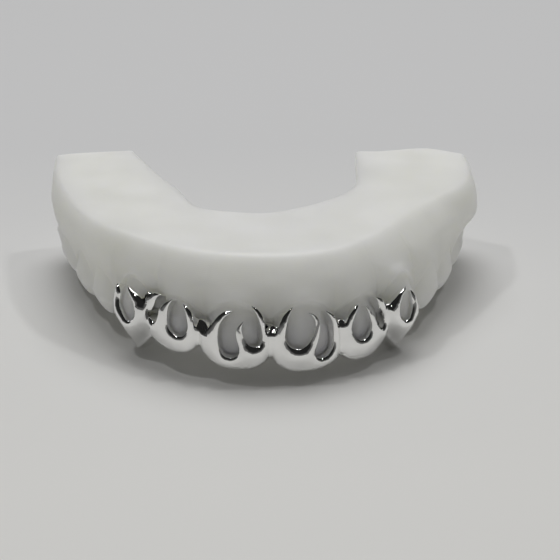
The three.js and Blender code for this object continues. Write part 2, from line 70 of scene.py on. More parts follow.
CAP_LIP = 0.9  # height of the lower lip, and its corner
CAP_CORNER = 0.22
CAP_SEAT = 0.08  # clearance between the metal and the resin
TOOTH_FULL = 0.55  # how far the middle of a capped tooth fills out towards the windows
CREASES = (-9.2, 0.0, 9.2)  # narrow creases in the metal between teeth, their depth and half width
CREASE_DEEP = 0.22
CREASE_WIDE = 0.45
CANINE = 20.4
CAP_FILLED = 16.8  # contact at which the metal's groove is filled and soft

# ---------------------------------------------------------------- tables
# One row for each contact between teeth and each tooth centre, from the midline back.
TEETH_COLUMNS = (
    "s edgeL edgeR edgeUp fossa linUp edgeLab edgeLin faceN neckN neckZ lfaceN lfaceZ lneckN lneckZ pEdgeM pEdgeD pFace split faceUp"
).split()
TEETH = np.array(
    [
        [0.0, 4.85, 4.85, 0.60, 0.0, 0.60, -0.9, -2.0, -1.5, -1.7, 7.4, -3.4, 7.2, -6.0, 9.6, 0, 0, 0, 0, 2.6],
        [4.6, 2.98, 2.55, 0.55, 0.0, 0.55, 0.1, -1.3, 0.35, -0.7, 10.3, -3.0, 6.8, -6.2, 10.4, 2.9, 2.1, 3.0, 0, 2.6],
        [9.2, 5.65, 3.9, 0.60, 0.0, 0.60, -0.9, -2.0, -1.5, -1.7, 7.4, -3.4, 7.2, -5.8, 9.4, 0, 0, 0, 0, 2.6],
        [12.9, 4.0, 2.7, 0.55, 0.0, 0.55, 0.1, -1.2, 0.35, -0.6, 9.8, -3.0, 6.8, -5.8, 10.0, 3.3, 1.45, 2.6, 0, 2.6],
        [16.8, 5.25, 5.0, 0.60, 0.0, 0.60, -0.7, -2.0, -1.3, -1.6, 7.4, -3.8, 7.2, -6.0, 9.2, 0, 0, 0, 0, 2.6],
        [20.4, 1.5, 1.01, 0.60, 0.0, 0.60, -0.9, -1.9, 1.00, -0.1, 10.8, -4.0, 6.4, -6.8, 10.0, 1.1, 1.0, 1.9, 0, 3.4],
        [25.3, 5.2, 5.2, 0.40, 0.3, 0.50, -0.9, -3.9, -0.2, -0.5, 6.4, -5.8, 6.2, -6.8, 8.6, 0, 0, 0, 0, 2.6],
        [29.0, 2.9, 2.9, 0.10, 0.9, -1.9, -0.1, -5.0, 1.40, 0.9, 9.6, -7.0, 4.6, -7.0, 8.6, 2.6, 2.0, 2.2, 0, 2.6],
        [32.8, 4.0, 4.0, 0.10, 0.6, -1.4, -0.7, -5.0, 0.8, 0.5, 6.6, -6.6, 5.4, -7.2, 7.8, 0, 0, 0, 0, 2.6],
        [36.9, 2.8, 2.8, 0.10, 0.9, -2.2, -0.1, -5.2, 1.40, 0.9, 9.2, -7.4, 4.6, -7.4, 8.4, 2.0, 2.0, 2.2, 0, 2.6],
        [41.0, 4.0, 4.0, 0.10, 0.6, -1.6, -0.7, -5.4, 0.8, 0.5, 6.4, -7.4, 5.2, -8.0, 7.6, 0, 0, 0, 0, 2.6],
        [46.4, 3.2, 3.2, 0.00, 0.8, -3.31, -0.2, -6.8, 1.20, 0.9, 7.8, -9.0, 4.6, -8.8, 8.0, 2.4, 2.4, 3.0, 0.5, 2.6],
        [52.0, 4.5, 4.5, 0.00, 0.6, -2.2, -0.7, -6.4, 0.9, 0.6, 6.2, -8.6, 5.0, -8.8, 7.4, 0, 0, 0, 0, 2.6],
        [56.2, 3.8, 3.8, 0.00, 0.8, -3.96, -0.4, -6.6, 0.80, 0.6, 7.4, -8.8, 4.8, -8.6, 8.0, 2.4, 2.4, 3.0, 0.5, 2.6],
        [60.2, 4.8, 4.8, 0.20, 0.6, -1.0, -1.2, -6.0, -0.20, -0.4, 6.4, -8.4, 5.6, -8.8, 7.6, 0, 0, 0, 0, 2.6],
        [61.6, 6.2, 6.2, 0.30, 0.0, 0.30, -1.8, -6.0, -0.9, -0.4, 8.0, -8.2, 7.6, -9.0, 8.6, 2.0, 2.0, 2.0, 0, 2.6],
    ]
)
TOOTH = {name: TEETH[:, i] for i, name in enumerate(TEETH_COLUMNS)}

# Outline of the flat base: outer and inner edge at an arc length, and how far
# the gum wall below the outer edge rolls outward.  Columns: s, outer x, outer y, inner x, inner y, roll.
BASE = np.array(
    [
        [-61.6, -31.6, 47.4, -19.6, 49.6, 0.7],
        [-55.0, -31.0, 41.6, -17.6, 44.3, 0.9],
        [-47.0, -29.5, 33.4, -14.9, 37.2, 0.8],
        [-38.0, -26.9, 24.8, -12.3, 31.6, 0.6],
        [-30.0, -23.2, 17.6, -10.8, 26.6, 0.8],
        [-21.0, -16.6, 10.9, -9.0, 23.2, 1.0],
        [-11.0, -8.8, 5.8, -5.2, 21.5, 1.2],
        [0.0, 0.2, 4.1, 0.2, 20.7, 1.2],
        [11.0, 8.6, 6.1, 4.8, 22.8, 1.2],
        [21.0, 14.9, 12.2, 9.0, 26.0, 1.2],
        [30.0, 19.6, 19.4, 11.9, 29.6, 1.4],
        [38.0, 24.2, 25.6, 13.4, 33.0, 1.6],
        [47.0, 29.6, 32.4, 13.9, 37.5, 1.6],
        [55.0, 31.1, 39.5, 14.2, 42.5, 1.6],
        [61.6, 31.4, 45.4, 14.6, 47.9, 1.2],
    ]
)

# How far each arm's end stands out past the last station. Columns: across from outer edge (0) to inner (1), left, right.
ARM_END = np.array(
    [[0.00, 1.2, 1.2], [0.15, 1.5, 2.4], [0.30, 1.7, 4.4], [0.45, 1.7, 4.3], [0.60, 1.6, 3.0], [0.80, 1.5, 1.6], [1.00, 1.2, 1.2]]
)
ARM_ROUND = 1.1  # rounding of the arms' ends

# Flame line on the front of the cap, one row for each opening or notch from left to right: its left
# prong tip, then points down the left side, the lowest point and up the right side, each as (arc length, height).
# The next row's tip closes it.
FLAMES = [
    [(-23.20, 9.70), (-22.32, 8.83), (-22.30, 7.67), (-21.77, 6.95), (-21.00, 6.37), (-20.15, 5.62), (-19.58, 5.31), (-19.00, 5.74), (-18.56, 6.87), (-18.74, 7.82), (-19.26, 8.78)],  # canine
    [(-20.98, 10.10), (-19.90, 9.85), (-18.80, 9.52), (-17.95, 9.02), (-17.55, 8.62), (-17.38, 9.05), (-17.15, 9.72), (-16.50, 10.32)],  # notch
    [(-14.89, 10.44), (-15.78, 9.63), (-16.27, 8.50), (-16.69, 7.39), (-16.65, 6.53), (-16.14, 6.13), (-15.43, 6.73), (-14.96, 7.77), (-14.78, 8.61), (-14.18, 9.47)],  # lateral, narrow
    [(-12.77, 10.40), (-13.22, 9.53), (-13.43, 8.60), (-13.42, 7.55), (-13.24, 6.50), (-12.78, 5.84), (-11.74, 5.48), (-10.90, 5.80), (-10.45, 6.60), (-10.42, 7.90), (-10.78, 9.34)],  # lateral, wide
    [(-11.28, 10.16), (-10.57, 9.70), (-9.82, 8.97), (-9.31, 8.05), (-8.95, 7.48), (-8.45, 7.20), (-7.86, 7.82), (-7.31, 8.52), (-6.52, 9.42), (-5.66, 10.02)],  # notch
    [(-4.60, 10.14), (-5.61, 9.21), (-6.17, 8.03), (-6.36, 6.71), (-6.34, 5.60), (-6.13, 4.72), (-5.67, 3.96), (-4.80, 3.70), (-3.91, 4.21), (-3.70, 5.26), (-4.01, 6.84), (-3.95, 8.03)],  # central
    [(-3.22, 9.02), (-3.43, 8.06), (-3.30, 7.18), (-3.05, 6.34), (-2.49, 5.59), (-1.75, 5.33), (-1.05, 5.57), (-0.76, 6.29), (-0.95, 7.92), (-1.39, 9.37)],  # central
    [(-2.28, 10.87), (-1.61, 10.55), (-0.90, 9.88), (-0.25, 8.90), (0.00, 8.05), (0.15, 7.55), (0.48, 8.10), (1.38, 9.42), (2.22, 10.25)],  # notch
    [(2.79, 10.62), (2.22, 9.46), (1.85, 8.02), (1.71, 6.58), (1.99, 5.83), (2.64, 5.16), (3.55, 4.90), (4.49, 5.44), (4.94, 6.11), (5.41, 7.46), (5.53, 8.41), (5.29, 9.23)],  # central
    [(4.68, 9.86), (5.57, 9.35), (5.98, 8.33), (5.94, 7.42), (5.74, 6.20), (5.39, 4.86), (5.36, 4.03), (5.80, 3.39), (6.50, 3.20), (7.37, 3.51), (8.00, 4.23), (8.34, 5.29), (8.28, 6.79), (7.80, 8.35)],  # central
    [(6.99, 9.72), (8.13, 9.07), (9.00, 8.08), (9.36, 7.46), (9.74, 7.82), (10.41, 8.65), (11.14, 9.38)],  # notch
    [(11.63, 9.63), (10.82, 8.25), (10.45, 7.15), (10.40, 6.36), (10.66, 5.66), (11.15, 4.97), (11.95, 4.55), (12.86, 4.76), (13.33, 5.43), (13.39, 6.23), (13.06, 7.57)],  # lateral, wide
    [(12.65, 9.28), (13.11, 8.49), (13.77, 7.35), (14.53, 6.00), (15.48, 5.11), (16.03, 5.04), (16.36, 5.58), (16.30, 6.50), (15.75, 7.40), (15.22, 8.20), (14.87, 8.95)],  # lateral, narrow
    [(14.54, 9.87), (15.40, 9.52), (16.11, 8.95), (16.65, 8.15), (16.85, 7.80), (17.10, 8.01), (17.76, 8.58), (18.70, 9.25), (19.85, 9.58)],  # notch
    [(20.59, 9.58), (19.05, 9.01), (18.39, 7.88), (18.30, 6.40), (18.68, 5.47), (19.35, 4.85), (20.01, 5.06), (20.61, 5.99), (20.96, 7.01), (20.92, 7.91)],  # canine
]
LAST_TIP = (21.0, 9.0)
# Outer flank of the two end prongs, from the left end and from the right, going down from the tip.
FIRST_FLANK = [(-23.62, 8.6), (-23.90, 7.2), (-24.05, 5.6)]
LAST_FLANK = [(21.55, 8.2), (22.05, 7.0), (22.50, 5.6)]


# ---------------------------------------------------------------- jaw geometry
_x = np.linspace(-40, 40, 32001)
_y = ARCH_RISE * (np.cosh(_x / ARCH_SPREAD) - 1)
_s = np.concatenate([[0], np.cumsum(np.hypot(np.diff(_x), np.diff(_y)))])
_s -= np.interp(0, _x, _s)


def unit(v):
    return v / np.maximum(np.linalg.norm(v, axis=-1, keepdims=True), 1e-12)


def arch(s):
    """Point and outward normal of the arch line at an arc length from the midline."""
    x = np.interp(s, _s, _x)
    slope = ARCH_RISE / ARCH_SPREAD * np.sinh(x / ARCH_SPREAD)
    k = 1 / np.sqrt(1 + slope * slope)
    return x, ARCH_RISE * (np.cosh(x / ARCH_SPREAD) - 1), slope * k, -k


def lift(s, profile):
    """Profiles (S, K, 2) of distance from the arch and height, at arc lengths s, as points (S, K, 3)."""
    x, y, nx, ny = (a[:, None] for a in arch(s))
    return np.stack([x + profile[..., 0] * nx, y + profile[..., 0] * ny, profile[..., 1]], -1)


def tooth(name, s, power="pFace", soft=0.0, depth=1.0):
    """Value of a tooth column at an arc length: flat across a tooth, falling to the contact."""
    a, rows = np.abs(s), TOOTH["s"]
    k = np.clip(np.searchsorted(rows, a, side="right") - 1, 0, len(rows) - 2)
    u = np.clip((a - rows[k]) / (rows[k + 1] - rows[k]), 0, 1)
    odd = k % 2 == 1
    centre, contact = np.where(odd, k, k + 1), np.where(odd, k + 1, k)
    p = power if isinstance(power, float) else TOOTH[power][centre] if power in TOOTH else np.where(odd, TOOTH[power + "D"][centre], TOOTH[power + "M"][centre])
    t = np.where(odd, u, 1 - u) ** p
    shape = (1 - soft) * t + soft * 0.5 * (1 - np.cos(np.pi * t))
    value = TOOTH[name][centre] + (TOOTH[name][contact] - TOOTH[name][centre]) * shape * depth
    if name in ("edgeL", "edgeR"):
        value = value + TOOTH["split"][centre] * np.exp(-(((a - rows[centre]) / 0.9) ** 2))
    return value


def crown_nodes(s, soft=0.0, depth=1.0, edge_soft=0.0, edge_depth=1.0, top=None):
    """Profile nodes (S, 8, 2) of a crown from the front gum line round the biting edge to the back gum line."""

    def col(name, power="pFace"):
        return tooth(name, s, power, soft, depth)

    edge = np.where(s < 0, tooth("edgeL", s, "pEdge", edge_soft, edge_depth), tooth("edgeR", s, "pEdge", edge_soft, edge_depth))
    neck = col("neckZ", 2.0) if top is None else np.full(np.shape(s), top)
    rise = neck - edge
    face, lab, lin = col("faceN"), col("edgeLab"), col("edgeLin")
    nodes = [
        (col("neckN", 2.5), neck),
        (face - 0.15, neck - 0.36 * rise),
        (face, edge + np.minimum(0.36 * rise, col("faceUp"))),
        (lab, edge + col("edgeUp")),
        ((lab + lin) / 2, edge + col("fossa")),
        (lin, edge + col("linUp")),
        (col("lfaceN"), np.maximum(col("lfaceZ"), edge + 1.2)),
        (col("lneckN"), np.maximum(col("lneckZ"), edge + 2.0)),
    ]
    return np.stack([np.stack(n, -1) for n in nodes], -2)


def catmull(nodes, per):
    """Centripetal curve through nodes (..., K, D), with per points to a span: one number, or one for each span."""
    ends = np.concatenate(
        [2 * nodes[..., :1, :] - nodes[..., 1:2, :], nodes, 2 * nodes[..., -1:, :] - nodes[..., -2:-1, :]], -2
    )
    spans = nodes.shape[-2] - 1
    counts = [per] * spans if isinstance(per, int) else per
    out = []
    for i in range(spans):
        p0, p1, p2, p3 = (ends[..., i + j, :] for j in range(4))
        d1, d2, d3 = (
            np.maximum(np.sqrt(np.linalg.norm(b - a, axis=-1)), 1e-6)[..., None] for a, b in ((p0, p1), (p1, p2), (p2, p3))
        )
        m1 = ((p1 - p0) / d1 - (p2 - p0) / (d1 + d2) + (p2 - p1) / d2) * d2
        m2 = ((p2 - p1) / d2 - (p3 - p1) / (d2 + d3) + (p3 - p2) / d3) * d2
        for j in range(counts[i]):
            t = j / counts[i]
            out.append(
                (2 * t**3 - 3 * t**2 + 1) * p1 + (t**3 - 2 * t**2 + t) * m1 + (3 * t**2 - 2 * t**3) * p2 + (t**3 - t**2) * m2
            )
    out.append(nodes[..., -1, :])
    return np.stack(out, -2)


def base(s):
    """Outer and inner edge of the flat base and the gum's roll at s (cubic through the rows)."""
    t, v = BASE[:, 0], BASE[:, 1:]
    slope = (np.concatenate([v[1:], v[-1:]]) - np.concatenate([v[:1], v[:-1]])) / (
        np.concatenate([t[1:], t[-1:]]) - np.concatenate([t[:1], t[:-1]])
    )[:, None]
    k = np.clip(np.searchsorted(t, s, side="right") - 1, 0, len(t) - 2)
    h = (t[k + 1] - t[k])[:, None]
    u = (s - t[k])[:, None] / h
    value = (
        (2 * u**3 - 3 * u**2 + 1) * v[k]
        + (u**3 - 2 * u**2 + u) * h * slope[k]
        + (3 * u**2 - 2 * u**3) * v[k + 1]
        + (u**3 - u**2) * h * slope[k + 1]
    )
    return value[:, 0:2], value[:, 2:4], value[:, 4]


def mouth_nodes(s):
    """Gum and crown profile nodes (S, 10, 2), from the fullest gum down the front and round to the back gum line."""
    outer, _, roll = base(s)
    x, y, nx, ny = arch(s)
    base_n = (outer[:, 0] - x) * nx + (outer[:, 1] - y) * ny
    crown = crown_nodes(s)
    full = TOOTH_FULL * np.clip((tooth("faceN", s) + 1.4) / 1.75, 0, 1.3) * np.clip((CAP_END - np.abs(s)) / 1.5, 0, 1)
    crown[:, :4, 0] += full[:, None] * [0.35, 1.0, 1.0, 0.6]
    gum_n = 0.5 * (base_n + tooth("neckN", s, 2.5, 0.0, 0.3)) + roll
    margin = np.interp(np.abs(s), [CAP_END, CAP_END + 5], [0.45, 0.12])
    low_n = 0.85 * (crown[:, 0, 0] + margin) + 0.15 * gum_n
    fall = np.clip((np.abs(s) - GUM_FALL[0]) / (GUM_FALL[1] - GUM_FALL[0]), 0, 1)
    gum = np.stack([gum_n, GUM_HEIGHT + (GUM_BACK - GUM_HEIGHT) * fall * fall * (3 - 2 * fall)], -1)
    low = np.stack([low_n, crown[:, 0, 1] + 0.8], -1)
    return np.concatenate([gum[:, None], low[:, None], crown], 1)


def blur(a, sigma, axis, closed=False):
    """Gaussian smoothing of an array along one axis."""
    reach = int(np.ceil(3 * sigma))
    kernel = np.exp(-0.5 * (np.arange(-reach, reach + 1) / sigma) ** 2)
    kernel /= kernel.sum()
    pad = [(0, 0)] * a.ndim
    pad[axis] = (reach, reach)
    wide = np.pad(a, pad, mode="wrap") if closed else np.pad(a, pad, mode="reflect", reflect_type="odd")
    size = a.shape[axis]
    return sum(w * np.take(wide, np.arange(i, i + size), axis=axis) for i, w in enumerate(kernel))


# ---------------------------------------------------------------- dental cast
CAST_FINE = 0.17  # station spacing along the front teeth, and behind them
CAST_COARSE = 0.34
TOP_CELLS = 10  # cells across the flat top
WALL_CELLS = [3, 3, 6, 8] + [9] * 9 + [7, 6, 6, 6, 4, 3, 3]  # cells between the nodes of a section


def cast_stations():
    out = []
    rows = TOOTH["s"]
    for a, b in zip(rows[:-1], rows[1:]):
        step = CAST_FINE if a < CAP_END else CAST_COARSE
        out.extend(np.linspace(a, b, int(np.ceil((b - a) / step)), endpoint=False))
    half = np.array(out + [rows[-1]])
    return np.concatenate([-half[:0:-1], half])


def cast_rings(s):
    """Closed sections (S, M, 3) of the cast, starting at the outer edge of the flat top."""
    outer, inner, roll = base(s)
    inward = unit(inner - outer)

    def at(xy, inset, z):
        return np.concatenate([xy + inset * inward, np.full((len(s), 1), z)], 1)

    mouth = lift(s, mouth_nodes(s))
    palate, rim = mouth[:, -1], at(inner, -0.25, PALATE_EDGE)

    def slope(across, up):
        p = palate + across * (rim - palate)
        p[:, 2] = palate[:, 2] + up * (PALATE_EDGE - palate[:, 2])
        return p

    bend = 1 - np.sqrt(0.5)
    corner = at(outer, 0, BASE_HEIGHT)
    fall = unit(mouth[:, 0] - corner)
    shoulder = 0.45 * corner + 0.55 * mouth[:, 0]
    shoulder[:, :2] -= 0.12 * roll[:, None] * inward
    nodes = [
        at(outer, TOP_ROUND_OUT, BASE_HEIGHT),
        at(outer, 0.3 * TOP_ROUND_OUT, BASE_HEIGHT - 0.10 * TOP_ROUND_OUT),
        corner + 0.55 * TOP_ROUND_OUT * fall + [0, 0, -0.02],
        shoulder,
        *mouth.transpose(1, 0, 2),
        slope(0.35, 0.55),
        slope(0.75, 0.85),
        rim,
        at(inner, -0.08, PALATE_EDGE + 1.2),
        at(inner, 0.0, BASE_HEIGHT - TOP_ROUND_IN),
        at(inner, -bend * TOP_ROUND_IN, BASE_HEIGHT - bend * TOP_ROUND_IN),
        at(inner, -TOP_ROUND_IN, BASE_HEIGHT),
    ]
    wall = catmull(np.stack(nodes, 1), WALL_CELLS)
    across = np.linspace(0, 1, TOP_CELLS + 1)[1:-1, None]
    top = wall[:, -1:] + across * (wall[:, :1] - wall[:, -1:])
    rings = np.concatenate([wall, top], 1)
    soft = blur(rings, 0.8, 1, closed=True)
    soft[:, :, 2] = np.where(rings[:, :, 2] > BASE_HEIGHT - 1e-6, BASE_HEIGHT, soft[:, :, 2])
    return soft


# ---------------------------------------------------------------- grillz
GRID_STEPS = 1261  # stations of the cap's skin
FRONT_STEPS = 170  # and points down its front and up its back
BACK_STEPS = 90
BEVEL_WIDE = 0.5  # bevel of the cut edges, measured across the face
BEVEL_DEEP = (1.1, 0.8)  # its depth: of its width, and at most of the metal's thickness
BEVEL_CREST = 0.25  # share of a flat bevel over which the face turns down into it; the windows' bevels are round
BEVEL_SMOOTH = 4  # rounds of smoothing
BEVEL_PRONG = 0.96  # share of a prong's width that its two bevels may take
EDGE_BEVELS = {  # others: flame row, left and right side
    1: (1.1, 0.5),
    4: (0.9, 0.9),
    5: (0.5, 0.35),
    6: (0.8, 0.5),
    7: (1.0, 1.0),
    8: (0.5, 0.8),
    9: (0.35, 0.5),
    10: (0.8, 1.1),
    13: (0.5, 1.1),
}
ROWS = [0.015, 0.045, 0.09, 0.15, 0.22, 0.30, 0.39, 0.49, 0.60, 0.72, 0.85, 0.99, 1.14]  # rows of points in from the cut edge
INNER_CELL = 0.26  # spacing of the points away from the edges
WALL_ROWS = 4  # cells across the thickness of a cut edge
TIP_SOFT = 0.09  # softening of the flame line's corners
GRAIN_UP = 1.45  # the band of cast grain on the lower lips: its middle above the lowest line, and half its height
GRAIN_WIDE = 0.75


def section_halves(profile, front_z, back_z):
    """Front half (top down) and back half (edge up) of one profile, each spaced evenly."""
    low = int(profile[:, 1].argmin())

    def half(line, z, count):
        cut = np.argmax(line[1:, 1] >= z) + 1 if (line[1:, 1] >= z).any() else len(line) - 1
        a, b = line[cut - 1], line[cut]
        u = np.clip((z - a[1]) / (b[1] - a[1]), 0, 1)
        kept = np.concatenate([line[:cut], (a + u * (b - a))[None]])
        run = np.concatenate([[0], np.cumsum(np.linalg.norm(np.diff(kept, axis=0), axis=1))])
        want = np.linspace(0, run[-1], count)
        return np.stack([np.interp(want, run, kept[:, i]) for i in (0, 1)], -1)

    return half(profile[low::-1], front_z, FRONT_STEPS)[::-1], half(profile[low:], back_z, BACK_STEPS)


def cap_skin():
    """Grid of points and normals of the cap's outer skin, before the flames are cut."""
    s = np.linspace(-CAP_END - 0.35, CAP_END + 0.35, GRID_STEPS)
    filled = np.exp(-(((np.abs(s) - CAP_FILLED) / 1.6) ** 2))
    groove = np.where(np.abs(s) > CANINE, 1.0, CAP_SOFT_GROOVE * (1 - 0.4 * filled))
    soft = CAP_SOFT + (0.95 - CAP_SOFT) * filled
    n, z = crown_nodes(s, soft, groove, CAP_SOFT, CAP_SOFT_EDGE, CAP_TOP + 0.4).transpose(2, 1, 0)
    foot = z[4] - tooth("fossa", s, "pFace", soft, groove) - CAP_FOOT
    end = np.clip((np.abs(s) - CANINE + 1.4) / 2.8, 0, 1)
    wall = CAP_WALL + (np.where(s < 0, *CAP_END_WALL) - CAP_WALL) * end * end * (3 - 2 * end)
    crease = sum(np.exp(-(((s - c) / CREASE_WIDE) ** 2)) for c in CREASES) * CREASE_DEEP
    n = n - crease * np.array([0, 1, 1, 1, 0, 0, 0, 0])[:, None]
    lip = n[3] + wall - 0.05
    nodes = [
        (n[0] + 0.70 * wall, z[0]),
        (n[1] + 0.93 * wall, z[1]),
        (n[2] + wall, z[2]),
        (lip, foot + CAP_LIP),
        (lip - CAP_CORNER, foot + CAP_CORNER),
        (lip - CAP_LIP, foot),
        (0.5 * (lip + n[5]) - 0.5 * CAP_BACK_WALL, foot + 0.05),
        (n[5] - 0.75 * CAP_BACK_WALL, foot + 0.55),
        (n[6] - CAP_BACK_WALL, z[6] - 0.2),
        (n[7] - CAP_BACK_WALL, z[7]),
    ]
    skin = catmull(np.stack([np.stack(k, -1) for k in nodes], 1), 16)
    seat = catmull(mouth_nodes(s), 12)
    out = []
    for profile, tooth_line in zip(skin, seat):
        front, back = section_halves(profile, CAP_TOP, CAP_BACK)
        low = int(tooth_line[:, 1].argmin())
        resin = np.interp(front[:, 1], tooth_line[low::-1, 1], tooth_line[low::-1, 0])
        gap = front[:, 0] - resin - CAP_SEAT - CAP_LEAST
        front[:, 0] += 0.5 * (np.sqrt(gap * gap + 0.02) - gap) * (front[:, 1] > tooth_line[low, 1] + 0.5)
        out.append(np.concatenate([front, back[1:]]))
    points = lift(s, np.stack(out))
    return s, blur(blur(points, 3.0, 1), 2.0, 0)


def flame_line():
    """The flame line from the left end round every prong to the right end: arc length, height and bevel."""
    tips = [row[0] for row in FLAMES] + [LAST_TIP]

    rows = [FIRST_FLANK[::-1] + [tips[0]]] + [row + [nxt] for row, nxt in zip(FLAMES, tips[1:])] + [[LAST_TIP] + LAST_FLANK]
    parts = []
    for i, row in enumerate(rows):
        line = catmull(np.array(row), 40)[1 if i else 0 :]
        bevel = np.interp(np.arange(len(line)), np.array([0.35, 0.65]) * len(line), EDGE_BEVELS.get(i - 1, (BEVEL_WIDE, BEVEL_WIDE)))
        parts.append(np.column_stack([line, bevel]))
    return np.concatenate(parts)


# ---------------------------------------------------------------- geometry ends


def arm_end(ring, before, side):
    """Rings past the last station, then points and triangles that fill the end face, numbered on from the last ring."""
    past = unit((ring[0] - before[0]) * [1, 1, 0])
    outer = ring[sum(WALL_CELLS[:2])]
    span = (ring[sum(WALL_CELLS) - WALL_CELLS[-1]] - outer) * [1, 1, 0]
    wide = float(np.linalg.norm(span))
    over = span / wide
    flat = np.stack([(ring - outer) @ over, ring[:, 2]], -1)
    table_u = np.linspace(-0.5, 1.5, 401)
    table = blur(np.interp(table_u, ARM_END[:, 0], ARM_END[:, side]), 16.0, 0)

    def stand(q):
        k = np.clip((q[:, 1] - 0.62 * BASE_HEIGHT) / (0.30 * BASE_HEIGHT), 0, 1)
        return ARM_ROUND + (np.interp(q[:, 0] / wide, table_u, table) - ARM_ROUND) * k * k * (3 - 2 * k)

    a, b = np.array([0.3 * wide, 0.72 * BASE_HEIGHT]), np.array([0.85 * wide, 0.9 * BASE_HEIGHT])
    core = a + np.clip((flat - a) @ (b - a) / ((b - a) @ (b - a)), 0, 1)[:, None] * (b - a)
    gap = np.linalg.norm(core - flat, axis=1, keepdims=True)
    pull = unit(core - flat) * np.minimum(1, 0.6 * gap / ARM_ROUND)
    rim = flat + ARM_ROUND * pull
    reach = stand(rim)
    out = [ring + past * (u * (reach - ARM_ROUND))[:, None] for u in (0.5, 1.0)]
    for turn in np.linspace(0, np.pi / 2, 8)[1:]:
        move = ARM_ROUND * (1 - np.cos(turn)) * pull
        out.append(ring + past * (reach - ARM_ROUND + ARM_ROUND * np.sin(turn))[:, None] + move[:, :1] * over + move[:, 1:] * [0, 0, 1])
    field = np.stack(np.meshgrid(np.arange(rim[:, 0].min(), rim[:, 0].max(), 0.6), np.arange(rim[:, 1].min(), rim[:, 1].max(), 0.6)), -1).reshape(-1, 2)
    clear = np.linalg.norm(field[:, None] - rim[None], axis=-1).min(1) > 0.4
    every = np.concatenate([rim, field[clear]])
    area = 0.5 * (rim[:, 0] * np.roll(rim[:, 1], -1) - np.roll(rim[:, 0], -1) * rim[:, 1]).sum()
    loop = list(range(len(rim)))
    _, _, tris, origin, _, _ = geometry.delaunay_2d_cdt([Vector(q) for q in every.tolist()], [], [loop if area > 0 else loop[::-1]], 1, 1e-7)
    tris = [[origin[v][0] for v in f] for f in tris]
    used = sorted({v for f in tris for v in f if v >= len(rim)})
    number = {v: len(rim) + i for i, v in enumerate(used)}
    inner = every[used]
    pull_of = 1 / (np.linalg.norm(inner[:, None] - rim[None], axis=-1) + 0.05) ** 3
    behind = pull_of @ ((ring - outer) @ past) / pull_of.sum(1)
    points = outer * [1, 1, 0] + inner[:, :1] * over + inner[:, 1:] * [0, 0, 1] + (stand(inner) + behind)[:, None] * past
    return out, points, [[number.get(v, v) for v in f] for f in tris]


def cast_mesh():
    s = cast_stations()
    rings = list(blur(cast_rings(s), 0.6, 0))
    tail, tail_points, tail_fill = arm_end(rings[-1], rings[-3], 2)
    head, head_points, head_fill = arm_end(rings[0], rings[2], 1)
    rings = np.stack(head[::-1] + rings + tail)
    count, size = rings.shape[:2]
    verts = np.concatenate([rings.reshape(-1, 3), head_points, tail_points])
    i, j = np.meshgrid(np.arange(count - 1), np.arange(size), indexing="ij")
    k = (j + 1) % size
    quads = np.stack([i * size + j, i * size + k, (i + 1) * size + k, (i + 1) * size + j], -1).reshape(-1, 4)
    faces = quads.tolist()
    for fill, ring_at, points_at, away in (
        (head_fill, 0, count * size, unit(rings[0, 0] - rings[3, 0])),
        (tail_fill, (count - 1) * size, count * size + len(head_points), unit(rings[-1, 0] - rings[-4, 0])),
    ):
        every = np.array([[ring_at + v if v < size else points_at + v - size for v in f] for f in fill])
        a, b, c = verts[every.T]
        facing = (np.cross(b - a, c - a) @ away).sum() > 0
        faces += every.tolist() if facing else every[:, ::-1].tolist()
    return verts, faces


def resample(line, step, closed):
    ring = np.concatenate([line, line[:1]]) if closed else line
    run = np.concatenate([[0], np.cumsum(np.linalg.norm(np.diff(ring, axis=0), axis=1))])
    count = max(2, int(round(run[-1] / step)))
    want = np.linspace(0, run[-1], count, endpoint=not closed)
    return np.stack([np.interp(want, run, ring[:, i]) for i in range(ring.shape[1])], -1)


